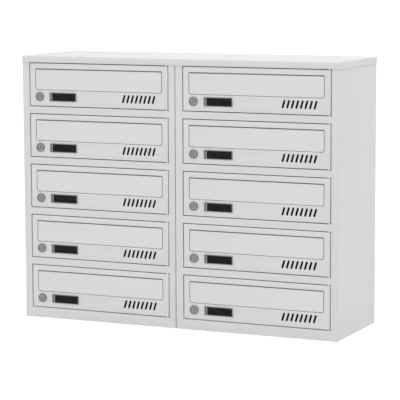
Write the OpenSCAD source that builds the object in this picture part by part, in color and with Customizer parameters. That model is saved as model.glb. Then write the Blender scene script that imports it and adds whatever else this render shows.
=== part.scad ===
// A free-standing bank of letterboxes in folded sheet steel: two columns of compartments under one cap.
// Each compartment has a side-hung door with a sprung letter flap, a cam lock, a name plate and view slots.
// X runs to the right, Y to the back and Z up. The origin is the middle of the underside of its outer box,
// which reaches from the lock faces to the back.

/* [Overall] */
// Width of one column of compartments
column_w = 400; // [330:5:500]
// Space between the two columns, held by washers on the joining bolts
column_gap = 1; // [0.5:0.1:3]
// Depth of the body from front face to back face
body_depth = 250; // [180:5:400]
// Compartments in one column
rows = 5; // [2:1:5]

/* [Front] */
// Height of one door
door_h = 101; // [84:0.5:140]
// Face strip beside the lock side of a door
lock_strip = 18.5; // [12:0.5:40]
// Face strip beside the hinge side of a door
hinge_strip = 16; // [12:0.5:40]
// Face strip between two doors, one above the other
strip_between = 16.4; // [16:0.1:40]
// Face strip below the lowest door
bottom_band = 24; // [14:0.5:60]
// Height of the cap's skirt, which covers the front above the highest door
top_band = 15.4; // [14:0.1:40]

/* [Sheet metal] */
// Thickness of every steel sheet
sheet = 1; // [0.8:0.1:1.2]
// Outside radius of the bends down the body's front corners
body_bend_r = 2.5; // [1.5:0.1:4]
// Outside radius of the bends down a door's two sides
door_bend_r = 2; // [1.3:0.1:3]
// How far the folded edges of the doors and of their openings reach back
return_depth = 12; // [10:0.5:20]
// Height of the folded edges of the shelves, base and top panels
flange_h = 10; // [5:0.5:12]
// How far a shelf lies below the edge of the opening in front of it
shelf_drop = 9; // [8:0.5:9.5]

/* [Fits] */
// Gap all round a door
door_gap = 1.8; // [1:0.1:2.5]
// Gap all round a letter flap
flap_gap = 1.3; // [0.8:0.1:2]
// Radial clearance of each turning pin, rod and plug
running_fit = 0.05; // [0.02:0.01:0.1]
// Clearance between pieces that seat on each other but also move apart
seat_gap = 0.3; // [0.2:0.05:0.6]
// Clearance of pieces that are dropped or slid into place
loose_fit = 0.2; // [0.1:0.05:0.5]
// Film of air between faces that are pressed together but belong to separate pieces
face_gap = 0.05; // [0.02:0.01:0.1]

/* [Door hinge] */
// Distance of the hinge pin's axis from the door's face and from its edge
pin_inset = 4; // [3.6:0.1:6]
// Diameter of a hinge pin
pin_d = 4; // [3:0.1:5]
// Diameter of a hinge pin's collar and of its riveted tail
pin_collar_d = 5.6; // [5:0.1:6]

/* [Letter flap] */
// Door sheet left standing at each side of the flap's opening
flap_side_margin = 14.5; // [13:0.5:30]
// Door sheet left standing above the flap's opening
flap_top_margin = 12.5; // [10:0.5:30]
// Height of the flap's opening
flap_open_h = 51; // [36:0.5:60]
// Radius of the opening's upper corners
flap_top_r = 3; // [2.5:0.5:6]
// Radius of the opening's lower corners
flap_bottom_r = 6; // [4:0.5:12]
// Diameter of the rod that the flap swings on
rod_d = 3; // [2.4:0.1:4]
// Depth of the rod's axis behind the door's face
rod_depth = 4.5; // [4:0.1:6]
// Distance of the rod's axis below the flap's upper edge
rod_drop = 5; // [4.5:0.1:8]
// How far the flap's lip reaches down behind the door
flap_lip = 3.5; // [2.5:0.1:3.5]
// Distance of the flap's lip behind the door's sheet
lip_gap = 2.5; // [1:0.1:3]
// Distance of the flap's ears from its ends
flap_ear_inset = 7.5; // [7:0.5:20]
// Wire diameter of the flap's spring
spring_wire = 0.9; // [0.5:0.1:1]

/* [Lock] */
// Distance of the lock's axis from the door's free edge
lock_x = 26.5; // [24:0.5:34]
// Height of the lock, name plate and view slots above the door's lower edge
fitting_z = 22; // [20:0.5:26]
// Diameter of the lock's face
lock_face_d = 22; // [19:0.5:24]
// Diameter of the lock's threaded barrel
lock_body_d = 16; // [15:0.5:18]
// Diameter of the plug that the key turns
plug_d = 12; // [10:0.5:13]
// How far the lock's face stands out from the door
lock_proud = 2; // [1:0.1:4]
// Thickness of the cam
cam_t = 2; // [1.5:0.1:3]
// Width of the cam's arm
cam_w = 10; // [8:0.5:13]
// How far the cam reaches behind the edge of the opening when it is locked
cam_catch = 4.5; // [2:0.1:5]

/* [Name plate] */
// Distance of the name plate from the door's free edge
plate_x = 53; // [46:0.5:80]
// Width of the name plate
plate_w = 71; // [50:1:90]
// Height of the name plate
plate_h = 21; // [14:0.5:22]
// How far the name plate stands out from the door
plate_proud = 1.8; // [1.5:0.1:3]

/* [View slots] */
// Number of view slots in a door
slot_count = 8; // [3:1:9]
// Distance from one view slot to the next
slot_pitch = 11; // [8:0.5:12]
// Distance of the last view slot's middle from the door's hinged edge
slot_margin = 36; // [24:0.5:60]
// Width of a view slot
slot_w = 5; // [2:0.1:6]
// Length of a view slot
slot_len = 20; // [10:0.5:22]
// Lean of a view slot from upright, in degrees
slot_lean = 17; // [0:1:30]

/* [Fixings] */
// Diameter of the wall fixing holes in a back panel
wall_hole_d = 7; // [5:0.5:9]
// Sideways distance between the wall fixing holes of one column
wall_hole_spacing = 300; // [200:5:310]
// Diameter of the bolts and studs that hold the columns and the cap together
bolt_d = 5; // [4:0.5:6]
// Distance of each joining bolt from the middle of the side wall, front to back
bolt_offset = 70; // [40:5:75]
// Distance of the cap's studs from the sides, front and back of each column
stud_inset = 60; // [30:5:80]

/* [Hidden] */
columns = 2;
boxes = columns * rows;
$fn = 48;
cut = 1; // how far a cutting shape runs past the face that it cuts
steel_white = [0.87, 0.87, 0.86];
zinc = [0.72, 0.72, 0.7];
black_plastic = [0.09, 0.09, 0.09];
clear_plastic = [0.75, 0.78, 0.8, 0.4];

opening_w = column_w - lock_strip - hinge_strip;
opening_h = door_h + 2 * door_gap;
door_w = opening_w - 2 * door_gap;
row_pitch = opening_h + strip_between;
total_w = columns * column_w + (columns - 1) * column_gap;
total_h = bottom_band + rows * row_pitch - strip_between + top_band;
shell_h = total_h - sheet;
front_y = (lock_proud - body_depth) / 2; // the doors' faces
back_y = front_y + body_depth;
mid_y = (front_y + back_y) / 2;

tab_h = 12; // height of a door stop
tab_reach = 5; // how far a door stop reaches into the opening
tab_inset = 16; // distance of a door stop from the ends of the opening

pin_tail = 1.2; // thickness of a hinge pin's riveted tail
pin_reach = 3; // how far a hinge pin goes past the door's folded edge
pin_play = 0.1; // end play between a pin's collar and the door

flap_open_z = door_h - flap_top_margin - flap_open_h;
flap_w = door_w - 2 * flap_side_margin - 2 * flap_gap;
flap_h = flap_open_h - 2 * flap_gap;
flap_x = flap_side_margin + flap_gap;
flap_z = flap_open_z + flap_gap;
rod_z = flap_z + flap_h - rod_drop;
ear_t = 1.5; // thickness of the ears that carry the rod
ear_r = 4; // round end of those ears
ear_gap = 1; // distance of the door's ears from the ends of its opening
door_ear_x = flap_side_margin - ear_gap - ear_t;
rod_head_t = 1; // thickness of a rod's peened head
rod_head_over = 1; // how far that head stands out round the rod
flap_flange = 7; // depth of the fold along the flap's upper edge
lip_stop_w = 8; // width of the stops on the flap's lip
lip_stop_drop = 0.5; // distance of those stops below the edge of the opening
spring_coil_len = 6; // length of the spring's coil along the rod
spring_coil_r = 2.6; // radius to the middle of the spring's wire
spring_leg = 12; // length of the spring's leg on the flap

plug_head_d = plug_d + 2; // wider front of the plug, which stops it from going in too far
plug_head_t = 1.1; // thickness of that head
plug_recess = 0.3; // how far the plug's front lies behind the lock's face
lock_back = return_depth + loose_fit; // back end of the lock's barrel
cam_y = lock_back + 2 * loose_fit; // front face of the cam
cam_hub_r = 7; // round end of the cam about the plug
cam_square = 6.4; // width of the plug's square end
cam_reach = fitting_z + door_gap + sheet + cam_catch;
cam_screw_d = 4;
cam_screw_depth = 6; // how far the cam's screw goes into the plug
cam_screw_head_d = 9;
cam_screw_head_t = 2.5;
nut_r = lock_body_d / 2 + 3; // the lock nut across its corners, halved
nut_t = 3; // thickness of the lock nut
key_slot = [1.2, 8, 5]; // width, height and depth of the key slot

plate_rim = 1.6; // width of the name plate's frame
plate_grip = 5; // width of the grip at the plate's left end
plate_base = 0.6; // thickness behind the card
card_t = 0.4;
window_t = 0.6;
peg_d = 4; // pegs that snap the name plate into the door
peg_len = 3;
peg_barb = 0.3; // how far a peg's barb stands out round it
peg_offset = 25; // distance of each peg from the middle of the plate

bolt_head_d = 1.8 * bolt_d;
bolt_head_h = 0.6 * bolt_d;
bolt_nut_r = 0.92 * bolt_d;
bolt_nut_h = 0.8 * bolt_d;
bolt_clear = 0.25; // radial clearance of a bolt in its hole
bolt_end = 1; // how far a bolt or stud shows past its nut

// Places. Column 0 is the left one and row 0 the top one; boxes are counted down the left column first.
function column_x(column) = (column - columns / 2) * (column_w + column_gap) + column_gap / 2;
function box_column(i) = floor((i - 1) / rows);
function box_row(i) = (i - 1) % rows;
function opening_z(row) = bottom_band + (rows - 1 - row) * row_pitch;

module at_door(i) {
    x = column_x(box_column(i)) + lock_strip + door_gap;
    translate([x, front_y, opening_z(box_row(i)) + door_gap]) children();
}

// Extrudes an outline drawn in X and Z between two depths.
module front_plate(y0, y1) {
    translate([0, y1, 0]) rotate([90, 0, 0]) linear_extrude(y1 - y0) children();
}

// Extrudes an outline drawn in Y and Z between two places along X.
module side_plate(x0, x1) {
    translate([x0, 0, 0]) rotate([90, 0, 90]) linear_extrude(x1 - x0) children();
}

// A cylinder along Y, from y0 to y1, at a place in X and Z.
module round_y(x, z, r, y0, y1) {
    translate([x, y0, z]) rotate([-90, 0, 0]) cylinder(r = r, h = y1 - y0);
}

// A cylinder along X, from x0 to x1, at a place in Y and Z.
module round_x(y, z, r, x0, x1) {
    translate([x0, y, z]) rotate([0, 90, 0]) cylinder(r = r, h = x1 - x0);
}

// A rectangle whose two front corners are rounded.
module front_rounded(w, d, r) {
    translate([0, r]) square([w, d - r]);
    translate([r, 0]) square([w - 2 * r, d]);
    for (x = [r, w - r]) translate([x, r]) circle(r);
}

// A rectangle with one radius on its upper corners and another on its lower ones.
module flap_outline(w, h, top_r, bottom_r) {
    translate([0, bottom_r]) square([w, h - top_r - bottom_r]);
    translate([bottom_r, 0]) square([w - 2 * bottom_r, bottom_r + cut]);
    translate([top_r, h - top_r - cut]) square([w - 2 * top_r, top_r + cut]);
    for (x = [bottom_r, w - bottom_r]) translate([x, bottom_r]) circle(bottom_r);
    for (x = [top_r, w - top_r]) translate([x, h - top_r]) circle(top_r);
}

// Places the axis of each hinge pin; the second pin is turned over for the upper end of the door.
module at_pins() {
    for (end = [0, 1]) {
        translate([door_w - pin_inset, pin_inset, end * door_h]) mirror([0, 0, end]) children();
    }
}

// Places each of the four joining bolts on the plane midway between the two columns.
module at_joining_bolts() {
    for (row = [0, rows - 1], side = [-1, 1]) {
        translate([0, mid_y + side * bolt_offset, opening_z(row) + opening_h / 2]) children();
    }
}

// Places each of the cap's studs, at the height of the shell's upper edge.
module at_studs() {
    for (column = [0 : columns - 1], x = [stud_inset, column_w - stud_inset], side = [-1, 1]) {
        y = mid_y + side * (body_depth / 2 - stud_inset);
        translate([column_x(column) + x, y, shell_h]) children();
    }
}

// Front and both sides of a column, folded from one sheet, with a folded edge round each door opening.
module shell(column) {
    color(steel_white) difference() {
        translate([column_x(column), front_y, 0]) union() {
            difference() {
                union() {
                    linear_extrude(shell_h) difference() {
                        front_rounded(column_w, body_depth, body_bend_r);
                        translate([sheet, sheet])
                            front_rounded(column_w - 2 * sheet, body_depth, body_bend_r - sheet);
                    }
                    for (row = [0 : rows - 1]) {
                        translate([lock_strip - sheet, 0, opening_z(row) - sheet])
                            cube([opening_w + 2 * sheet, return_depth, opening_h + 2 * sheet]);
                    }
                }
                for (row = [0 : rows - 1]) {
                    translate([lock_strip, -cut, opening_z(row)])
                        cube([opening_w, return_depth + 2 * cut, opening_h]);
                }
            }
            for (row = [0 : rows - 1], z = [tab_inset, opening_h - tab_inset - tab_h]) {
                translate([lock_strip - sheet, 0, opening_z(row) + z]) door_stop();
            }
        }
        for (row = [0 : rows - 1]) {
            at_door(column * rows + row + 1) at_pins() {
                translate([0, 0, -door_gap - sheet - cut])
                    cylinder(r = pin_d / 2 + running_fit, h = sheet + 2 * cut);
            }
        }
        at_joining_bolts() round_x(0, 0, bolt_d / 2 + bolt_clear, -column_gap - sheet, column_gap + sheet);
    }
}

// A tongue of the opening's folded edge, bent in behind the door.
module door_stop() {
    translate([0, return_depth - cut, 0]) cube([sheet, cut + seat_gap + sheet, tab_h]);
    translate([0, return_depth + seat_gap, 0]) cube([sheet + tab_reach, sheet, tab_h]);
}

// The back of a column, with its side edges folded forwards against the shell and four wall fixing holes.
module back_panel(column) {
    w = column_w - 2 * sheet;
    color(steel_white) translate([column_x(column) + sheet, 0, 0]) difference() {
        union() {
            translate([0, back_y - sheet, 0]) cube([w, sheet, shell_h]);
            for (x = [0, w - sheet]) {
                translate([x, back_y - return_depth, flange_h + 2 * sheet])
                    cube([sheet, return_depth, shell_h - 2 * flange_h - 4 * sheet]);
            }
        }
        for (row = [0, rows - 1], side = [-1, 1]) {
            x = w / 2 + side * wall_hole_spacing / 2;
            z = opening_z(row) + opening_h / 2;
            round_y(x, z, wall_hole_d / 2, back_y - 2 * sheet, back_y + cut);
        }
    }
}

// A flat panel across a column, with folded edges; up is 1 when they stand up and -1 when they hang.
// Its front corners are rounded off, clear of the bends inside the shell.
module tray(column, z, up, front_flange) {
    w = column_w - 2 * sheet;
    d = body_depth - 2 * sheet;
    notch = sheet + loose_fit;
    side_d = d + sheet - return_depth - loose_fit;
    translate([column_x(column) + sheet, front_y + sheet, z]) difference() {
        union() {
            cube([w, side_d, sheet]);
            translate([notch, 0, 0]) cube([w - 2 * notch, d, sheet]);
            translate([0, 0, up < 0 ? -flange_h : 0]) {
                for (x = [0, w - sheet]) translate([x, 0, 0]) cube([sheet, side_d, flange_h + sheet]);
                translate([notch, d - sheet, 0]) cube([w - 2 * notch, sheet, flange_h + sheet]);
            }
            translate([0, 0, up < 0 ? -front_flange : 0]) cube([w, sheet, front_flange + sheet]);
        }
        translate([0, 0, -flange_h - cut]) linear_extrude(2 * (flange_h + sheet + cut)) difference() {
            for (x = [-cut, w - body_bend_r]) translate([x, -cut]) square(body_bend_r + cut);
            for (x = [body_bend_r, w - body_bend_r]) translate([x, body_bend_r]) circle(body_bend_r);
        }
    }
}

// The shelves of one column, each the floor of one box and the ceiling of the next.
module shelves(column) {
    shelf_hem = strip_between - sheet - shelf_drop - 3 * sheet;
    color(steel_white) for (row = [0 : rows - 2]) {
        tray(column, opening_z(row) - shelf_drop - sheet, -1, shelf_hem);
    }
}

// The panels that close each column at the bottom and at the top.
module base_and_top_panels() {
    color(steel_white) for (column = [0 : columns - 1]) {
        tray(column, 0, 1, flange_h);
        difference() {
            tray(column, shell_h - sheet, -1, flange_h);
            at_studs() translate([0, 0, -sheet - cut])
                cylinder(r = bolt_d / 2 + bolt_clear, h = sheet + 2 * cut);
        }
    }
}

// One folded cap over both columns, with a skirt at the front and sides and studs for its nuts.
module top_cap() {
    w = total_w;
    over = loose_fit + sheet;
    color(steel_white) {
        translate([0, front_y, total_h - top_band]) difference() {
            translate([-w / 2 - over, -over, 0]) linear_extrude(top_band)
                front_rounded(w + 2 * over, body_depth + over, body_bend_r + over);
            translate([-w / 2 - loose_fit, -loose_fit, -sheet]) linear_extrude(top_band)
                front_rounded(w + 2 * loose_fit, body_depth + over, body_bend_r + loose_fit);
        }
        at_studs() translate([0, 0, -sheet - bolt_nut_h - bolt_end])
            cylinder(r = bolt_d / 2, h = 1.5 * sheet + bolt_nut_h + bolt_end);
    }
}

// Hinge pins, two to a door: riveted tail, collar and the spindle that the door turns on.
module hinge_pins() {
    color(zinc) for (i = [1 : boxes]) at_door(i) at_pins() {
        translate([0, 0, -door_gap - sheet - pin_tail]) cylinder(d = pin_collar_d, h = pin_tail);
        translate([0, 0, -door_gap - sheet - pin_tail])
            cylinder(d = pin_d, h = pin_tail + sheet + door_gap + sheet + pin_reach);
        translate([0, 0, -door_gap]) cylinder(d = pin_collar_d, h = door_gap - pin_play);
    }
}

// Four bolts and nuts through the two side walls, with a washer between these, and a nut on each cap stud.
module bolts_and_nuts() {
    wall = column_gap / 2 + sheet; // inner face of either side wall, from the plane between the columns
    color(zinc) {
        at_joining_bolts() {
            round_x(0, 0, bolt_head_d / 2, -wall - bolt_head_h, -wall);
            round_x(0, 0, bolt_d / 2, -wall - 1, wall + bolt_nut_h + bolt_end);
            difference() {
                translate([wall, 0, 0]) rotate([0, 90, 0])
                    cylinder(r = bolt_nut_r, h = bolt_nut_h, $fn = 6);
                round_x(0, 0, bolt_d / 2 + running_fit, 0, wall + bolt_nut_h + cut);
            }
            difference() {
                round_x(0, 0, bolt_head_d / 2, -column_gap / 2, column_gap / 2);
                round_x(0, 0, bolt_d / 2 + bolt_clear, -column_gap, column_gap);
            }
        }
        at_studs() translate([0, 0, -sheet - bolt_nut_h]) difference() {
            cylinder(r = bolt_nut_r, h = bolt_nut_h, $fn = 6);
            translate([0, 0, -cut]) cylinder(r = bolt_d / 2 + running_fit, h = bolt_nut_h + 2 * cut);
        }
    }
}

// One view slot, upright and centred.
module slot_outline() {
    straight = slot_len - slot_w;
    square([slot_w, straight], center = true);
    for (side = [-1, 1]) translate([0, side * straight / 2]) circle(d = slot_w);
}

// Everything that is punched through a door's face.
module door_cutouts() {
    translate([flap_side_margin, flap_open_z])
        flap_outline(door_w - 2 * flap_side_margin, flap_open_h, flap_top_r, flap_bottom_r);
    translate([lock_x, fitting_z]) circle(d = lock_body_d + 2 * running_fit);
    for (side = [-1, 1]) {
        translate([plate_x + plate_w / 2 + side * peg_offset, fitting_z]) circle(d = peg_d + 2 * running_fit);
    }
    for (k = [0 : slot_count - 1]) {
        translate([door_w - slot_margin - k * slot_pitch, fitting_z]) rotate(-slot_lean) slot_outline();
    }
}

// An ear with the rod's hole, standing back from a face sheet; rise is how far it goes on above the rod.
module rod_ear(x, rise) {
    side_plate(x, x + ear_t) difference() {
        union() {
            translate([sheet / 2, rod_z - ear_r]) square([rod_depth - sheet / 2, ear_r + rise]);
            translate([sheet / 2, rod_z]) square([flap_flange - sheet, rise]);
            translate([rod_depth, rod_z]) circle(ear_r);
        }
        translate([rod_depth, rod_z]) circle(rod_d / 2 + running_fit);
    }
}

// A door: a shallow folded tray with its cut-outs, the ears for the flap's rod and holes for the pins.
module door(i) {
    color(steel_white) at_door(i) {
        difference() {
            union() {
                linear_extrude(door_h) difference() {
                    front_rounded(door_w, return_depth, door_bend_r);
                    translate([sheet, sheet])
                        front_rounded(door_w - 2 * sheet, return_depth, door_bend_r - sheet);
                }
                for (z = [0, door_h - sheet]) {
                    translate([0, 0, z]) linear_extrude(sheet)
                        front_rounded(door_w, return_depth, door_bend_r);
                }
            }
            front_plate(-cut, sheet + cut / 2) door_cutouts();
            at_pins() translate([0, 0, -cut]) cylinder(r = pin_d / 2 + running_fit, h = sheet + 2 * cut);
        }
        for (x = [door_ear_x, door_w - door_ear_x - ear_t]) rod_ear(x, ear_r - sheet);
    }
}

// A flap: face sheet, folded upper edge, lower lip and its two stops behind the door, and two ears.
module flap_panel() {
    left = flap_x + flap_ear_inset;
    right = flap_x + flap_w - flap_ear_inset - ear_t;
    lip_inset = flap_bottom_r + 3 * sheet;
    translate([flap_x, 0, flap_z]) {
        front_plate(0, sheet)
            flap_outline(flap_w, flap_h, flap_top_r - flap_gap, flap_bottom_r - flap_gap);
        translate([flap_top_r, 0, flap_h - sheet]) cube([flap_w - 2 * flap_top_r, flap_flange, sheet]);
        translate([lip_inset, 0, 0]) cube([flap_w - 2 * lip_inset, 2 * sheet + lip_gap, sheet]);
        translate([lip_inset, sheet + lip_gap, -flap_lip])
            cube([flap_w - 2 * lip_inset, sheet, flap_lip + sheet]);
        for (x = [lip_inset, flap_w - lip_inset - lip_stop_w]) {
            translate([x, sheet + seat_gap, -flap_lip])
                cube([lip_stop_w, lip_gap - seat_gap + sheet / 2, flap_lip - flap_gap - lip_stop_drop]);
        }
    }
    for (x = [left, right]) rod_ear(x, rod_drop - sheet / 2);
}

// The rod that the flap swings on, with a peened head outside each of the door's ears.
module flap_rod() {
    left = door_ear_x - loose_fit;
    right = door_w - door_ear_x + loose_fit;
    round_x(rod_depth, rod_z, rod_d / 2, left - rod_head_t, right + rod_head_t);
    round_x(rod_depth, rod_z, rod_d / 2 + rod_head_over, left - rod_head_t, left);
    round_x(rod_depth, rod_z, rod_d / 2 + rod_head_over, right, right + rod_head_t);
}

// The torsion spring between the flap's and the door's right-hand ears: a closed coil and two legs.
module flap_spring() {
    start = flap_x + flap_w - flap_ear_inset + loose_fit;
    leg_x = start + spring_wire / 2;
    leg_y = rod_depth - spring_coil_r;
    fixed_end = door_w - door_ear_x - ear_t - running_fit;
    half_wall = spring_wire / 2 + face_gap;
    difference() {
        round_x(rod_depth, rod_z, spring_coil_r + half_wall, start, start + spring_coil_len);
        translate([-cut, 0, 0])
            round_x(rod_depth, rod_z, spring_coil_r - half_wall, start, start + spring_coil_len + 2 * cut);
    }
    translate([leg_x, leg_y, rod_z - spring_leg]) cylinder(d = spring_wire, h = spring_leg);
    round_x(rod_depth + spring_coil_r, rod_z, spring_wire / 2, start + spring_coil_len - sheet, fixed_end);
}

module flap(i) {
    at_door(i) {
        color(steel_white) flap_panel();
        color(zinc) flap_rod();
        color(zinc) flap_spring();
    }
}

// The lock's case: a chamfered face and a threaded barrel, held by a nut on the door's inner side.
module lock_case(i) {
    chamfer = lock_proud / 3;
    plug_seat = plug_recess + plug_head_t + loose_fit / 2;
    color(zinc) at_door(i) translate([lock_x, 0, fitting_z]) rotate([-90, 0, 0]) {
        difference() {
            union() {
                rotate_extrude() polygon([
                    [0, -lock_proud], [lock_face_d / 2 - chamfer, -lock_proud],
                    [lock_face_d / 2, chamfer - lock_proud], [lock_face_d / 2, 0], [0, 0]
                ]);
                cylinder(d = lock_body_d, h = lock_back);
            }
            translate([0, 0, -lock_proud - cut])
                cylinder(r = plug_d / 2 + running_fit, h = lock_proud + lock_back + 2 * cut);
            translate([0, 0, -lock_proud - cut])
                cylinder(r = plug_head_d / 2 + running_fit, h = plug_seat + cut);
        }
        translate([0, 0, sheet]) difference() {
            cylinder(r = nut_r, h = nut_t, $fn = 6);
            translate([0, 0, -cut]) cylinder(r = lock_body_d / 2 + running_fit, h = nut_t + 2 * cut);
        }
    }
}

// What the key turns: the plug with its key slot, the cam on its square end and the cam's screw.
module lock_cam(i) {
    front = plug_recess - lock_proud;
    square_end = cam_y + cam_t - loose_fit;
    color(zinc) at_door(i) translate([lock_x, 0, fitting_z]) {
        difference() {
            union() {
                round_y(0, 0, plug_head_d / 2, front, front + plug_head_t);
                round_y(0, 0, plug_d / 2, front, cam_y - face_gap);
                translate([-cam_square / 2, cam_y - cut, -cam_square / 2])
                    cube([cam_square, square_end - cam_y + cut, cam_square]);
            }
            translate([-key_slot[0] / 2, front - cut, -key_slot[1] / 2])
                cube([key_slot[0], key_slot[2] + cut, key_slot[1]]);
            translate([0, square_end - cam_screw_depth - cut, 0])
                round_y(0, 0, cam_screw_d / 2 + running_fit, 0, cam_screw_depth + 2 * cut);
        }
        front_plate(cam_y, cam_y + cam_t) difference() {
            union() {
                circle(cam_hub_r);
                translate([0, -cam_w / 2]) square([cam_reach - cam_w / 2, cam_w]);
                translate([cam_reach - cam_w / 2, 0]) circle(cam_w / 2);
            }
            square(cam_square + 2 * running_fit, center = true);
        }
        round_y(0, 0, cam_screw_d / 2, square_end - cam_screw_depth, cam_y + cam_t + 1);
        translate([0, cam_y + cam_t + face_gap, 0])
            round_y(0, 0, cam_screw_head_d / 2, 0, cam_screw_head_t);
    }
}

// A name plate: a frame with a grip at its left end and two pegs, its card and a clear window.
module name_plate(i) {
    card_w = plate_w - plate_grip - plate_rim - 2 * loose_fit;
    card_h = plate_h - 2 * plate_rim - 2 * loose_fit;
    at_door(i) translate([plate_x, 0, fitting_z - plate_h / 2]) {
        color(black_plastic) {
            difference() {
                translate([0, -plate_proud, 0]) cube([plate_w, plate_proud, plate_h]);
                translate([plate_grip, -plate_proud - cut, plate_rim])
                    cube([
                        plate_w - plate_grip - plate_rim, plate_proud + cut - plate_base,
                        plate_h - 2 * plate_rim
                    ]);
            }
            for (side = [-1, 1]) {
                x = plate_w / 2 + side * peg_offset;
                round_y(x, plate_h / 2, peg_d / 2, -plate_base / 2, peg_len);
                round_y(x, plate_h / 2, peg_d / 2 + peg_barb, sheet + loose_fit, peg_len);
            }
        }
        translate([plate_grip + loose_fit, 0, plate_rim + loose_fit]) {
            color(black_plastic) translate([0, -plate_base - face_gap - card_t, 0])
                cube([card_w, card_t, card_h]);
            color(clear_plastic) translate([0, -plate_base - 2 * face_gap - card_t - window_t, 0])
                cube([card_w, window_t, card_h]);
        }
    }
}

shell(0);  // left_shell
shell(1);  // right_shell
back_panel(0);  // left_back_panel
back_panel(1);  // right_back_panel
shelves(0);  // left_shelves
shelves(1);  // right_shelves
base_and_top_panels();
top_cap();
hinge_pins();
bolts_and_nuts();
for (i = [1 : boxes]) {
    door(i);
    flap(i);
    lock_case(i);
    lock_cam(i);
    name_plate(i);
}
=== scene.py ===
import math

import bmesh
import bpy
from mathutils import Matrix, Quaternion, Vector


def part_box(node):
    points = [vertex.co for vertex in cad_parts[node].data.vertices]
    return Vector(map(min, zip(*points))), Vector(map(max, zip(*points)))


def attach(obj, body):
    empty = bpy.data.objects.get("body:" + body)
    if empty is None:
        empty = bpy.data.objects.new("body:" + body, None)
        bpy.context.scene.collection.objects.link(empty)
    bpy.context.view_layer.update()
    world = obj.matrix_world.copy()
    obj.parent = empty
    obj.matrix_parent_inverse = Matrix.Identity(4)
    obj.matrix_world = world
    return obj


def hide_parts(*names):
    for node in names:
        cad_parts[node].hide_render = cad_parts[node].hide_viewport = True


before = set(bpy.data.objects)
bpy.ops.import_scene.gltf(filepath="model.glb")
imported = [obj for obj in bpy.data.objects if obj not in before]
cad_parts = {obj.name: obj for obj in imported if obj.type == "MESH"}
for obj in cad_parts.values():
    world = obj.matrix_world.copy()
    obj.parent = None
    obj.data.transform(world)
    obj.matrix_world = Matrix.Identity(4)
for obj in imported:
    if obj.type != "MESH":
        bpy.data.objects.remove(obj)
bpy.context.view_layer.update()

# The studio: a plain white floor that runs to the horizon, an even white surround and three soft boxes.
# The light is nearly shadowless, a little stronger from above and from the front left.
# The camera stands to the right of the bank, slightly above it, with a long lens.
scene = bpy.context.scene
scene.view_settings.view_transform = "Standard"
scene.view_settings.look = "None"
scene.view_settings.exposure = 0.0
scene.view_settings.gamma = 1.0

surround = bpy.data.worlds.new("white_surround")
surround.use_nodes = True
surround.node_tree.nodes["Background"].inputs["Color"].default_value = (1.0, 1.0, 1.0, 1.0)
surround.node_tree.nodes["Background"].inputs["Strength"].default_value = 1.04
scene.world = surround


def softbox(name, watts, side, place, aim):
    lamp = bpy.data.lights.new(name, "AREA")
    lamp.shape = "SQUARE"
    lamp.size = side
    lamp.energy = watts
    holder = bpy.data.objects.new(name, lamp)
    holder.location = place
    holder.rotation_mode = "QUATERNION"
    holder.rotation_quaternion = (Vector(aim) - Vector(place)).to_track_quat("-Z", "Y")
    scene.collection.objects.link(holder)


softbox("softbox_front_left", 14.0, 2.2, (-2.6, -3.6, 2.6), (0.0, 0.0, 0.3))
softbox("softbox_overhead", 40.0, 2.4, (0.3, -0.2, 3.4), (0.0, 0.0, 0.3))
softbox("softbox_back_right", 6.0, 2.0, (2.4, 3.4, 2.2), (0.0, 0.0, 0.3))

floor_mesh = bpy.data.meshes.new("studio_floor")
reach = 90.0
below_the_base = 0.0002
floor_mesh.from_pydata(
    [(-reach, -reach, 0), (reach, -reach, 0), (reach, reach, 0), (-reach, reach, 0)], [], [(0, 1, 2, 3)]
)
floor_mesh.transform(Matrix.Translation((0.0, 0.0, -below_the_base)))
floor = bpy.data.objects.new("studio_floor", floor_mesh)
scene.collection.objects.link(floor)

lens = bpy.data.cameras.new("long_lens")
lens.sensor_width = 36.0
lens.lens = 175.63
lens.clip_start = 0.1
lens.clip_end = 400.0
tilt = math.radians(-0.232)
camera = bpy.data.objects.new("camera", lens)
sight = Vector((-0.414201, 0.901239, -0.127307))
camera.location = (1.9212, -4.1673, 0.8762)
camera.rotation_mode = "QUATERNION"
camera.rotation_quaternion = sight.to_track_quat("-Z", "Y") @ Quaternion((0, 0, 1), tilt)
scene.collection.objects.link(camera)
scene.camera = camera


# How the finishes are written: a Shade is one value running through a finish's nodes, and sums on it
# add the nodes that work them out. A Finish is one material, with every node added by the same method.
class Shade:
    def __init__(self, finish, socket):
        self.finish = finish
        self.socket = socket

    def work(self, operation, a, b):
        return self.finish.node("ShaderNodeMath", {"operation": operation}, {0: a, 1: b})

    def __add__(self, other):
        return self.work("ADD", self, other)

    def __mul__(self, other):
        return self.work("MULTIPLY", self, other)

    __radd__ = __add__
    __rmul__ = __mul__


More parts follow.
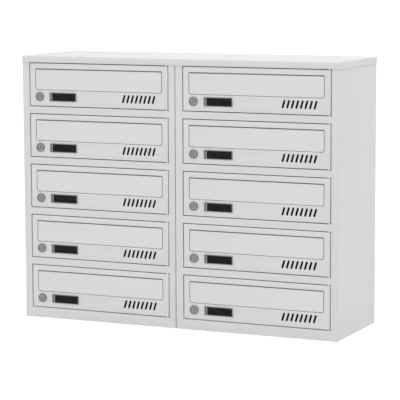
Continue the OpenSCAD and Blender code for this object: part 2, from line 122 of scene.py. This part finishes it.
class Finish:
    def __init__(self, name):
        self.material = bpy.data.materials.new(name)
        self.material.use_nodes = True
        self.tree = self.material.node_tree
        self.tree.nodes.clear()

    def node(self, kind, settings=None, sockets=None, output=0):
        made = self.tree.nodes.new(kind)
        for key, value in (settings or {}).items():
            setattr(made, key, value)
        for key, value in (sockets or {}).items():
            if isinstance(value, Shade):
                self.tree.links.new(value.socket, made.inputs[key])
            else:
                made.inputs[key].default_value = value
        return Shade(self, made.outputs[output]) if made.outputs else None

    def place(self):
        return self.node("ShaderNodeTexCoord", output="Object")

    def grain(self, scale, detail=2.0):
        """Even cloudy grain between 0 and 1, with this many lumps to a metre."""
        return self.node(
            "ShaderNodeTexNoise", {}, {"Vector": self.place(), "Scale": scale, "Detail": detail}, "Fac"
        )

    def blend(self, amount, first, second):
        return self.node("ShaderNodeMix", {"data_type": "RGBA"}, {0: amount, 6: first, 7: second}, 2)

    def bump(self, height, depth, strength=1.0):
        return self.node(
            "ShaderNodeBump", {}, {"Height": height, "Distance": depth, "Strength": strength}, "Normal"
        )

    def done(self, sockets):
        body = self.node("ShaderNodeBsdfPrincipled", {}, sockets)
        self.node("ShaderNodeOutputMaterial", {}, {"Surface": body})
        return self.material


def grey(level):
    return (level, level, level, 1.0)


studio_white = Finish("studio_white")
studio_white.done(
    {
        "Base Color": grey(0.3),
        "Roughness": 0.9,
        "Specular IOR Level": 0.0,
        "Emission Color": grey(1.0),
        "Emission Strength": 0.8,
    }
)
floor_mesh.materials.append(studio_white.material)


# The two shells: front and sides of a column, folded from one sheet of 1 mm steel, with a folded edge
# round every door opening. They are powder coated light grey: a satin skin with a fine orange peel,
# slightly uneven in tone, that rounds off every fold and every cut edge of the sheet.
MM = 0.001


def powder_coat(name, level):
    coat = Finish(name)
    unevenness = 0.007
    peel = coat.grain(620.0, 3.0)
    cloud = coat.grain(7.0, 1.0)
    pimple = coat.grain(1900.0, 1.0)
    return coat.done(
        {
            "Base Color": coat.blend(cloud, grey(level - unevenness), grey(level + unevenness)),
            "Roughness": 0.40 + 0.08 * cloud + 0.10 * peel,
            "Specular IOR Level": 0.42,
            "Normal": coat.bump(peel * 0.8 + pimple * 0.2, 0.05 * MM, 0.6),
        }
    )


body_coat = powder_coat("light_grey_powder_coat", 0.555)
fold_r = 1.0 * MM
edge_r = 0.15 * MM
flat_turn = math.radians(0.4)
sharp_turn = math.radians(35)
same_place = 0.02 * MM
welding_reach = 0.002 * MM


def near(a, b):
    return abs(a - b) < same_place


def islands(bm):
    """The separate solids of a mesh, each as its set of vertices, in the order of the mesh."""
    waiting, found = set(bm.verts), []
    for start in bm.verts:
        if start not in waiting:
            continue
        waiting.discard(start)
        island, front = {start}, [start]
        while front:
            for edge in front.pop().link_edges:
                for v in edge.verts:
                    if v in waiting:
                        waiting.discard(v)
                        island.add(v)
                        front.append(v)
        found.append(island)
    return found


def corners(verts):
    low = Vector([min(v.co[k] for v in verts) for k in range(3)])
    high = Vector([max(v.co[k] for v in verts) for k in range(3)])
    return low, high


def merged(node, keep=None, start=(0, 0, 0)):
    """A copy of a frame node's mesh with whole flat faces, measured from a start point.

    keep picks some of its solids by number, the largest being 0.
    """
    bm = bmesh.new()
    bm.from_mesh(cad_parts[node].data)
    bmesh.ops.remove_doubles(bm, verts=bm.verts, dist=welding_reach)
    if keep is not None:
        sizes = []
        for island in islands(bm):
            low, high = corners(island)
            sizes.append(((high - low).length, island))
        sizes.sort(key=lambda s: -s[0])
        unwanted = [v for n, (_, island) in enumerate(sizes) if n not in keep for v in island]
        bmesh.ops.delete(bm, geom=unwanted, context="VERTS")
    bmesh.ops.translate(bm, verts=bm.verts, vec=-Vector(start))
    bmesh.ops.dissolve_limit(bm, angle_limit=flat_turn, verts=bm.verts, edges=bm.edges)
    return bm


def piece(mesh, name, finish, body, replaces=()):
    mesh.name = name
    mesh.materials.clear()
    mesh.materials.append(finish)
    made = bpy.data.objects.new(name, mesh)
    scene.collection.objects.link(made)
    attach(made, body)
    if replaces:
        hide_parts(*replaces)
    return made


def finished(bm, width, segments=2):
    """Rounds the edges by their weights and returns the result as a plain mesh with even shading."""
    mesh = bpy.data.meshes.new("rounded")
    bm.to_mesh(mesh)
    bm.free()
    mesh.shade_smooth()
    holder = bpy.data.objects.new("rounded", mesh)
    scene.collection.objects.link(holder)
    bevel = holder.modifiers.new("rounded_edges", "BEVEL")
    bevel.limit_method = "WEIGHT"
    bevel.offset_type = "OFFSET"
    bevel.width = width
    bevel.segments = segments
    bevel.use_clamp_overlap = False
    bevel.harden_normals = True
    bpy.context.view_layer.update()
    seen = holder.evaluated_get(bpy.context.evaluated_depsgraph_get())
    result = bpy.data.meshes.new_from_object(seen)
    bpy.data.objects.remove(holder)
    bpy.data.meshes.remove(mesh)
    return result


def coated(bm, is_fold, fold=fold_r, cut_edge=edge_r):
    """Rounds the folds of a sheet-metal piece by one radius and its cut edges by a smaller one."""
    weight = bm.edges.layers.float.new("bevel_weight_edge")
    for island in islands(bm):
        low, high = corners(island)
        for edge in {e for v in island for e in v.link_edges}:
            if len(edge.link_faces) != 2 or edge.calc_face_angle() < sharp_turn:
                continue
            a, b = edge.verts[0].co, edge.verts[1].co
            folded = edge.is_convex and is_fold(a, b, low, high)
            edge[weight] = 1.0 if folded else cut_edge / fold
    return finished(bm, fold)


def opening_fold(a, b, low, high):
    rim = 2 * MM
    inside = min(a.z, b.z) > rim and max(a.z, b.z) < high.z - rim
    return near(a.y, low.y) and near(b.y, low.y) and inside


for side in ("left", "right"):
    shell = coated(merged(f"{side}_shell"), opening_fold)
    piece(shell, f"{side}_column_shell", body_coat, "cabinet", [f"{side}_shell"])


# The back panels: one flat sheet to a column, folded forwards down both sides and welded into its shell,
# with four holes for wall screws. They carry the same powder coat.
def side_fold(a, b, low, high):
    at_a_side = near(a.x, b.x) and (near(a.x, low.x) or near(a.x, high.x))
    return at_a_side and near(a.y, high.y) and near(b.y, high.y)


for side in ("left", "right"):
    back = coated(merged(f"{side}_back_panel"), side_fold, fold=0.6 * MM)
    piece(back, f"{side}_column_back", body_coat, "cabinet", [f"{side}_back_panel"])


# The shelves, base panels and top panels: trays folded from the same sheet, one to each level of a column.
# Shelves and top panels hang their flanges down and base panels stand theirs up; all are spot welded in.
def tray_fold(a, b, low, high):
    stands_on_the_floor = low.z < 1 * MM
    panel = low.z if stands_on_the_floor else high.z
    return near(a.z, panel) and near(b.z, panel)


for side in ("left", "right"):
    shelves = coated(merged(f"{side}_shelves"), tray_fold, fold=0.6 * MM)
    piece(shelves, f"{side}_column_shelves", body_coat, "cabinet", [f"{side}_shelves"])
panels = coated(merged("base_and_top_panels"), tray_fold, fold=0.6 * MM)
piece(panels, "column_base_and_top_panels", body_coat, "cabinet", ["base_and_top_panels"])


# The cap: one sheet over both columns, folded down at the front and the sides, with studs welded under it.
# It ties the columns together and is powder coated with them.
def cap_fold(a, b, low, high):
    return near(a.z, high.z) and near(b.z, high.z) and not (near(a.y, high.y) and near(b.y, high.y))


cap = coated(merged("top_cap", keep=[0]), cap_fold, fold=1.3 * MM)
piece(cap, "folded_cap", body_coat, "cabinet", ["top_cap"])


# The ten doors: shallow folded trays of the same sheet, hung on pins at their right-hand ends. Each has a
# letter opening, eight leaning view slots, a lock hole and the two ears that carry its flap's rod.
boxes = range(1, 11)
door_coat = powder_coat("door_powder_coat", 0.565)
home = {i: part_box(f"door_{i}")[0] for i in boxes}
door_w, door_d, door_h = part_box("door_1")[1] - home[1]


def put(mesh, i):
    """A copy of a door's fitting, made at a door's lower left front corner, in its place on door i."""
    copy = mesh.copy()
    copy.transform(Matrix.Translation(home[i]))
    return copy


def door_fold(a, b, low, high):
    bend = 2.1 * MM

    def on_rim(p):
        in_bend = p.y < low.y + bend and (p.x < low.x + bend or p.x > high.x - bend)
        return near(p.y, low.y) or near(p.x, low.x) or near(p.x, high.x) or in_bend

    level = (near(a.z, low.z) and near(b.z, low.z)) or (near(a.z, high.z) and near(b.z, high.z))
    return level and on_rim(a) and on_rim(b) and not (near(a.y, high.y) and near(b.y, high.y))


door = coated(merged("door_1", start=home[1]), door_fold, fold=1.2 * MM)
for i in boxes:
    piece(put(door, i), f"door_panel_{i}", door_coat, f"door_{i}", [f"door_{i}"])


# The letter flaps: one sheet each, folded back along the upper edge and stepped to a lip behind the door
# below, with two ears on the rod. They are powder coated and lie flush with the door.
flap_coat = powder_coat("flap_powder_coat", 0.592)


def flap_fold(a, b, low, high):
    return near(a.z, high.z) and near(b.z, high.z) and near(a.y, low.y) and near(b.y, low.y)


flap = coated(merged("flap_1", keep=[1], start=home[1]), flap_fold, fold=0.8 * MM, cut_edge=0.2 * MM)
for i in boxes:
    piece(put(flap, i), f"flap_panel_{i}", flap_coat, f"flap_{i}", [f"flap_{i}"])


# The turned, moulded and bent fittings: small helpers that turn a profile about an axis, cut one solid by
# another, round every sharp edge, and grow Geometry Nodes trees into plain meshes.
def turned(rings, along, at, steps=40, tube=False):
    """A turned solid from rings of (radius, distance) in millimetres, along an axis from a point."""
    bm = bmesh.new()
    loops = []
    for radius, distance in rings:
        loops.append(
            [
                bm.verts.new(
                    (
                        radius * MM * math.cos(math.tau * k / steps),
                        radius * MM * math.sin(math.tau * k / steps),
                        distance * MM,
                    )
                )
                for k in range(steps if radius > 0 else 1)
            ]
        )
    if tube:
        loops.append(loops[0])
    for a, b in zip(loops, loops[1:]):
        for k in range(steps):
            quad = [a[k % len(a)], a[(k + 1) % len(a)], b[(k + 1) % len(b)], b[k % len(b)]]
            bm.faces.new(list(dict.fromkeys(quad)))
    turn = Vector((0, 0, 1)).rotation_difference(Vector(along)).to_matrix().to_4x4()
    bmesh.ops.transform(bm, verts=bm.verts, matrix=Matrix.Translation(at) @ turn)
    bmesh.ops.recalc_face_normals(bm, faces=bm.faces)
    return bm


def block(low, high):
    """A box between two corners in millimetres."""
    bm = bmesh.new()
    bmesh.ops.create_cube(bm, size=1.0)
    for v in bm.verts:
        v.co = [MM * (low[k] if v.co[k] < 0 else high[k]) for k in range(3)]
    return bm


def joined(first, *others):
    for other in others:
        mesh = bpy.data.meshes.new("part")
        other.to_mesh(mesh)
        other.free()
        first.from_mesh(mesh)
        bpy.data.meshes.remove(mesh)
    return first


def shaped(bm, tool, operation="DIFFERENCE"):
    """One solid less another, or what the two share."""
    holders = []
    for part in (bm, tool):
        mesh = bpy.data.meshes.new("part")
        part.to_mesh(mesh)
        part.free()
        holders.append(bpy.data.objects.new("part", mesh))
        scene.collection.objects.link(holders[-1])
    change = holders[0].modifiers.new("shape", "BOOLEAN")
    change.solver = "EXACT"
    change.operation = operation
    change.object = holders[1]
    bpy.context.view_layer.update()
    seen = holders[0].evaluated_get(bpy.context.evaluated_depsgraph_get())
    mesh = bpy.data.meshes.new_from_object(seen)
    result = bmesh.new()
    result.from_mesh(mesh)
    for holder in holders:
        bpy.data.objects.remove(holder)
    bpy.data.meshes.remove(mesh)
    bmesh.ops.dissolve_limit(result, angle_limit=flat_turn, verts=result.verts, edges=result.edges)
    return result


def softened(bm, width, segments=2):
    """Rounds every sharp edge by one radius."""
    weight = bm.edges.layers.float.new("bevel_weight_edge")
    for edge in bm.edges:
        if len(edge.link_faces) == 2 and edge.calc_face_angle() > sharp_turn:
            edge[weight] = 1.0
    return finished(bm, width, segments)


def extent(node, rank=0):
    """The box round one solid of a fitting of door 1, measured from that door's lower left front corner."""
    bm = merged(node, keep=[rank], start=home[1])
    low, high = corners(bm.verts)
    bm.free()
    return low, high


def hex_nut(across_corners, thickness, bore, along, at):
    """A hexagonal nut whose corners are turned off on both faces."""
    r, t = across_corners / 2, thickness
    face_r, drop = 0.88 * r, 0.07 * r
    profile = [(0, 0), (face_r, 0), (r, drop), (r, t - drop), (face_r, t), (0, t)]
    turned_off = turned(profile, along, at, 48)
    prism = turned([(0, -1), (r, -1), (r, t + 1), (0, t + 1)], along, at, 6)
    nut = shaped(prism, turned_off, "INTERSECT")
    return shaped(nut, turned([(0, -2), (bore / 2, -2), (bore / 2, t + 2), (0, t + 2)], along, at, 32))


class Growth:
    """A Geometry Nodes tree with named inputs, which turns a simple mesh into a plain finished one."""

    def __init__(self, name, **inputs):
        self.tree = bpy.data.node_groups.new(name, "GeometryNodeTree")
        face = self.tree.interface
        face.new_socket("Start", in_out="INPUT", socket_type="NodeSocketGeometry")
        inputs["Finish"] = "NodeSocketMaterial"
        self.inputs = {}
        for label, kind in inputs.items():
            self.inputs[label] = face.new_socket(label, in_out="INPUT", socket_type=kind)
        face.new_socket("Result", in_out="OUTPUT", socket_type="NodeSocketGeometry")
        self.given = self.tree.nodes.new("NodeGroupInput")

    def node(self, kind, sockets, settings=None, output=0):
        made = self.tree.nodes.new(kind)
        for key, value in (settings or {}).items():
            setattr(made, key, value)
        for key, value in sockets.items():
            if isinstance(value, bpy.types.NodeSocket):
                self.tree.links.new(value, made.inputs[key])
            else:
                made.inputs[key].default_value = value
        return made.outputs[output] if made.outputs else None

    def end(self, geometry):
        real = self.node("GeometryNodeRealizeInstances", {0: geometry})
        finish = self.given.outputs["Finish"]
        self.node("NodeGroupOutput", {0: self.node("GeometryNodeSetMaterial", {0: real, "Material": finish})})

    def grow(self, points, edges, turns=None, **values):
        start = bpy.data.meshes.new("start")
        start.from_pydata([tuple(p) for p in points], edges, [])
        if turns:
            layer = start.attributes.new("turn", "FLOAT_VECTOR", "POINT")
            for k, turn in enumerate(turns):
                layer.data[k].vector = turn
        holder = bpy.data.objects.new("start", start)
        scene.collection.objects.link(holder)
        change = holder.modifiers.new("growth", "NODES")
        change.node_group = self.tree
        for label, value in values.items():
            change[self.inputs[label].identifier] = value
        bpy.context.view_layer.update()
        mesh = bpy.data.meshes.new_from_object(holder.evaluated_get(bpy.context.evaluated_depsgraph_get()))
        bpy.data.objects.remove(holder)
        bpy.data.meshes.remove(start)
        return mesh


scatter = Growth("pieces_on_points", Shape="NodeSocketObject")
scatter.end(
    scatter.node(
        "GeometryNodeInstanceOnPoints",
        {
            "Points": scatter.given.outputs["Start"],
            "Instance": scatter.node(
                "GeometryNodeObjectInfo", {"Object": scatter.given.outputs["Shape"]}, output="Geometry"
            ),
            "Rotation": scatter.node(
                "GeometryNodeInputNamedAttribute", {"Name": "turn"}, {"data_type": "FLOAT_VECTOR"}
            ),
        },
    )
)


def repeated(mesh, points, turns, finish):
    """One copy of a shape on every point, turned as listed, as one plain mesh."""
    shape = bpy.data.objects.new("shape", mesh)
    scene.collection.objects.link(shape)
    result = scatter.grow(points, [], turns, Shape=shape, Finish=finish)
    bpy.data.objects.remove(shape)
    return result


# The hinge pins: zinc-plated steel, two to a door, each riveted into the shell by its tail, with a collar
# that the door's end bears on and a rounded spindle in the door's hole.
zinc = Finish("zinc_plated_steel")
zinc_cloud = zinc.grain(90.0, 3.0)
zinc.done(
    {
        "Base Color": zinc.blend(zinc_cloud, (0.60, 0.60, 0.58, 1.0), (0.70, 0.70, 0.69, 1.0)),
        "Metallic": 1.0,
        "Roughness": 0.30 + 0.14 * zinc_cloud,
        "Normal": zinc.bump(zinc.grain(1500.0), 0.02 * MM, 0.5),
    }
)

pin = softened(
    turned(
        [
            (0, -4.0), (1.6, -4.0), (2.5, -3.7), (2.8, -3.2), (2.8, -2.8), (2.0, -2.8), (2.0, -1.8),
            (2.8, -1.8), (2.8, -0.1), (2.0, -0.1), (2.0, 3.5), (1.6, 4.0), (0, 4.0),
        ],
        (0, 0, 1), (0, 0, 0), 28,
    ),
    0.12 * MM,
)
pin_inset = 4 * MM
pin_points, pin_turns = [], []
for i in boxes:
    for level, turn in ((0.0, 0.0), (door_h, math.pi)):
        pin_points.append(home[i] + Vector((door_w - pin_inset, pin_inset, level)))
        pin_turns.append((turn, 0.0, 0.0))
pins = repeated(pin, pin_points, pin_turns, zinc.material)
piece(pins, "riveted_hinge_pins", zinc.material, "cabinet", ["hinge_pins"])


# The bolts and nuts: four round-headed bolts join the columns through washers, and a nut sits on each
# of the cap's eight studs. They are plain zinc-plated hardware.
wall = 1.5
nut_corners, nut_h, nut_bore = 9.2, 4, 5.1
bolt = joined(
    turned(
        [
            (0, -wall - 3.0), (2.2, -wall - 2.9), (3.6, -wall - 2.3), (4.4, -wall - 1.2), (4.5, -wall - 0.5),
            (4.5, -wall), (2.5, -wall), (2.5, wall + 4.6), (2.1, wall + 5.0), (0, wall + 5.0),
        ],
        (1, 0, 0), (0, 0, 0),
    ),
    turned([(2.75, -0.5), (4.5, -0.5), (4.5, 0.5), (2.75, 0.5)], (1, 0, 0), (0, 0, 0), tube=True),
    hex_nut(nut_corners, nut_h, nut_bore, (1, 0, 0), (wall * MM, 0, 0)),
)
bolt = softened(bolt, 0.1 * MM)
nut = softened(hex_nut(nut_corners, nut_h, nut_bore, (0, 0, 1), (0, 0, 0)), 0.1 * MM)
hardware = merged("bolts_and_nuts")
longest_nut, seam_zone = 10.5 * MM, 20 * MM
bolt_points, nut_points = [], []
for island in islands(hardware):
    low, high = corners(island)
    middle = (low + high) / 2
    if high.x - low.x > longest_nut:
        bolt_points.append((0.0, middle.y, middle.z))
    elif low.x > seam_zone or high.x < -seam_zone:
        nut_points.append((middle.x, middle.y, low.z))
hardware.free()
unturned = [(0.0, 0.0, 0.0)]
bolts = repeated(bolt, bolt_points, unturned * len(bolt_points), zinc.material)
nuts = repeated(nut, nut_points, unturned * len(nut_points), zinc.material)
piece(bolts, "joining_bolts", zinc.material, "cabinet", ["bolts_and_nuts"])
piece(nuts, "cap_stud_nuts", zinc.material, "cabinet", ["bolts_and_nuts"])


# The flap rods: zinc-plated steel rod, peened to a low dome outside each of the door's ears. A torsion
# spring of fine wire is wound round its right-hand end, with one leg on the flap and one at the ear.
rod_low, rod_high = extent("flap_1", 0)
rod_mid = (rod_low + rod_high) / 2
rod_len = (rod_high.x - rod_low.x) / MM
rod = softened(
    turned(
        [
            (0, 0), (1.3, 0.1), (2.1, 0.4), (2.5, 0.8), (2.5, 1.0), (1.5, 1.0), (1.5, rod_len - 1.0),
            (2.5, rod_len - 1.0), (2.5, rod_len - 0.8), (2.1, rod_len - 0.4), (1.3, rod_len - 0.1),
            (0, rod_len),
        ],
        (1, 0, 0), (rod_low.x, rod_mid.y, rod_mid.z), 28,
    ),
    0.08 * MM,
)

wire = Growth("bent_wire", Radius="NodeSocketFloat")
wire.end(
    wire.node(
        "GeometryNodeCurveToMesh",
        {
            "Curve": wire.node("GeometryNodeMeshToCurve", {"Mesh": wire.given.outputs["Start"]}),
            "Profile Curve": wire.node(
                "GeometryNodeCurvePrimitiveCircle", {"Resolution": 10, "Radius": wire.given.outputs["Radius"]}
            ),
            "Fill Caps": True,
        },
    )
)
spring_low, spring_high = extent("flap_1", 2)
wire_r, coil_r, coil_len = 0.45 * MM, 2.6 * MM, 6 * MM
first_x = spring_low.x + wire_r
last_x = first_x + coil_len - 2 * wire_r
coils, bends_a_coil = 5.5, 20
bends = coils * bends_a_coil
path = [(first_x, rod_mid.y - coil_r, spring_low.z)]
for k in range(int(bends) - 1):
    angle = math.tau * k / bends_a_coil
    x = first_x + (last_x - first_x) * k / bends
    path.append((x, rod_mid.y - coil_r * math.cos(angle), rod_mid.z + coil_r * math.sin(angle)))
for along, above in ((0.3, 0.6), (0.8, 0.15), (1.4, 0.0)):
    path.append((last_x + along * MM, rod_mid.y + coil_r, rod_mid.z + above * MM))
path.append((spring_high.x, rod_mid.y + coil_r, rod_mid.z))
links = [(k, k + 1) for k in range(len(path) - 1)]
spring = wire.grow(path, links, Radius=wire_r, Finish=zinc.material)
spring.shade_smooth()
for i in boxes:
    piece(put(rod, i), f"flap_rod_{i}", zinc.material, f"flap_{i}", [f"flap_{i}"])
    piece(put(spring, i), f"flap_spring_{i}", zinc.material, f"flap_{i}", [f"flap_{i}"])


# The lock cases: die-cast zinc in chrome, its colour set dark as a painted reflection of dark surroundings.
# Each has a chamfered face with a groove round a raised lip, and a threaded barrel that a hexagonal nut
# clamps to the back of the door.
chrome = Finish("chrome_painted_dark_reflection")
chrome_cloud = chrome.grain(240.0, 2.0)
chrome.done(
    {
        # Painted reflection: the chrome's base colour is kept dark to stand in for the dark surroundings it
        # would mirror.
        "Base Color": chrome.blend(chrome_cloud, grey(0.22), grey(0.31)),
        "Metallic": 1.0,
        "Roughness": 0.16 + 0.10 * chrome_cloud,
        "Normal": chrome.bump(chrome.grain(2600.0), 0.01 * MM, 0.5),
    }
)
case_low, case_high = extent("lock_case_1", 0)
lock = Vector(((case_low.x + case_high.x) / 2, 0.0, (case_low.z + case_high.z) / 2))
thread = []
for k in range(7):
    thread += [(8.0, 4.6 + k), (7.6, 5.1 + k)]
case = turned(
    [
        (7.05, -1.8), (7.2, -2.0), (7.9, -2.0), (8.2, -0.9), (9.1, -0.9), (9.4, -1.95), (10.2, -2.0),
        (10.5, -1.9), (11.0, -1.4), (11.0, -0.1), (10.9, 0.0), (8.0, 0.0),
    ]
    + thread
    + [(7.6, 12.2), (6.05, 12.2), (6.05, -0.5), (7.05, -0.5)],
    (0, 1, 0), lock, 56, tube=True,
)
case = softened(case, 0.08 * MM)
lock_nut = softened(hex_nut(22, 3, 16.1, (0, 1, 0), lock + Vector((0, 1 * MM, 0))), 0.15 * MM)
for i in boxes:
    piece(put(case, i), f"lock_body_{i}", chrome.material, f"door_{i}", [f"lock_case_{i}"])
    piece(put(lock_nut, i), f"lock_nut_{i}", zinc.material, f"door_{i}", [f"lock_case_{i}"])


# The lock cams: what the key turns. A die-cast plug with a dished face and a key slot, a flat steel cam on
# its square end, and a cross-recessed screw that holds the cam.
plug = turned(
    [
        (0, -0.9), (3.0, -0.95), (4.8, -1.2), (5.9, -1.65), (6.3, -1.7), (6.7, -1.7), (7.0, -1.5),
        (7.0, -0.6), (6.0, -0.6), (6.0, 12.55), (0, 12.55),
    ],
    (0, 1, 0), lock, 48,
)
key = block((-0.6, -4, -4), (0.6, 3.3, 4))
bmesh.ops.translate(key, verts=key.verts, vec=lock)
plug = shaped(plug, key)
square_end = block((-3.2, 12.3, -3.2), (3.2, 14.4, 3.2))
bmesh.ops.translate(square_end, verts=square_end.verts, vec=lock)
plug = softened(joined(plug, square_end), 0.1 * MM)
arm = softened(merged("lock_cam_1", keep=[0], start=home[1]), 0.2 * MM)
head_at = lock + Vector((0, extent("lock_cam_1", 0)[1].y + 0.05 * MM, 0))
screw = turned(
    [(0, 0), (4.5, 0), (4.5, 0.8), (4.1, 1.5), (3.0, 2.1), (1.6, 2.4), (0, 2.5)], (0, 1, 0), head_at
)
for cross in (block((-2.2, 1.2, -0.45), (2.2, 4, 0.45)), block((-0.45, 1.2, -2.2), (0.45, 4, 2.2))):
    bmesh.ops.translate(cross, verts=cross.verts, vec=head_at)
    screw = shaped(screw, cross)
screw = softened(screw, 0.08 * MM)
for i in boxes:
    piece(put(plug, i), f"lock_plug_{i}", chrome.material, f"lock_cam_{i}", [f"lock_cam_{i}"])
    piece(put(arm, i), f"cam_arm_{i}", zinc.material, f"lock_cam_{i}", [f"lock_cam_{i}"])
    piece(put(screw, i), f"cam_screw_{i}", zinc.material, f"lock_cam_{i}", [f"lock_cam_{i}"])


# The name plates: a moulded grey frame with a slotted, grooved grip and a finger notch below, snapped
# into the door by two pegs. It holds a matt black card under a clear window, with a white strip at the
# card's left that is a painted highlight of the frame's edge.
plastic = Finish("dark_grey_plastic")
plastic.done(
    {
        "Base Color": plastic.blend(plastic.grain(60.0), grey(0.17), grey(0.20)),
        "Roughness": 0.38 + 0.08 * plastic.grain(300.0),
        "Specular IOR Level": 0.45,
        "Normal": plastic.bump(plastic.grain(1800.0), 0.02 * MM, 0.5),
    }
)
card_stock = Finish("matt_black_card")
card_stock.done(
    {
        "Base Color": card_stock.blend(card_stock.grain(900.0), grey(0.008), grey(0.014)),
        "Roughness": 0.92,
        "Specular IOR Level": 0.12,
    }
)
# A painted highlight: a white strip along the card's left edge stands in for the light that the frame's edge
# catches.
painted_highlight_stock = Finish("painted_highlight_card_strip")
painted_highlight_stock.done({"Base Color": grey(0.82), "Roughness": 0.8, "Specular IOR Level": 0.2})
film = Finish("clear_window")
film.done({"Base Color": grey(0.02), "Roughness": 0.22, "Specular IOR Level": 0.15, "Alpha": 0.12})

plate_low, plate_high = (c / MM for c in extent("name_plate_1", 0))
plate = merged("name_plate_1", keep=[0], start=home[1])
mid_x = (plate_low.x + plate_high.x) / 2
notch_at = Vector((mid_x, plate_low.y, plate_low.z)) * MM
notch = turned([(0, -1), (2.4, -1), (2.4, 1.3), (0, 1.3)], (0, 1, 0), notch_at, 32)
plate = shaped(plate, notch)
plate_rim = 1.6
for from_x, to_x, depth in ((1.3, 2.1, 0.6), (3.5, 4.9, 3.0)):
    groove = block(
        (plate_low.x + from_x, plate_low.y - 1, plate_low.z + plate_rim),
        (plate_low.x + to_x, plate_low.y + depth, plate_high.z - plate_rim),
    )
    plate = shaped(plate, groove)
plate = softened(plate, 0.3 * MM)
card_low, card_high = (c / MM for c in extent("name_plate_1", 2))
# Where the black card ends and the painted highlight strip at its left begins.
highlight_strip_x = card_low.x + 1.4
card = softened(block((highlight_strip_x, *card_low.yz), card_high), 0.05 * MM, 1)
painted_highlight_strip = softened(block(card_low, (highlight_strip_x, *card_high.yz)), 0.05 * MM, 1)
window = softened(merged("name_plate_1", keep=[1], start=home[1]), 0.1 * MM, 1)
for i in boxes:
    for mesh, name, finish, slot in (
        (plate, "name_frame", plastic, "plate_black"),
        (card, "name_card", card_stock, "plate_black"),
        (painted_highlight_strip, "name_card_margin", painted_highlight_stock, "plate_black"),
        (window, "name_window", film, "plate_window"),
    ):
        piece(put(mesh, i), f"{name}_{i}", finish.material, f"door_{i}", [f"name_plate_{i}"])
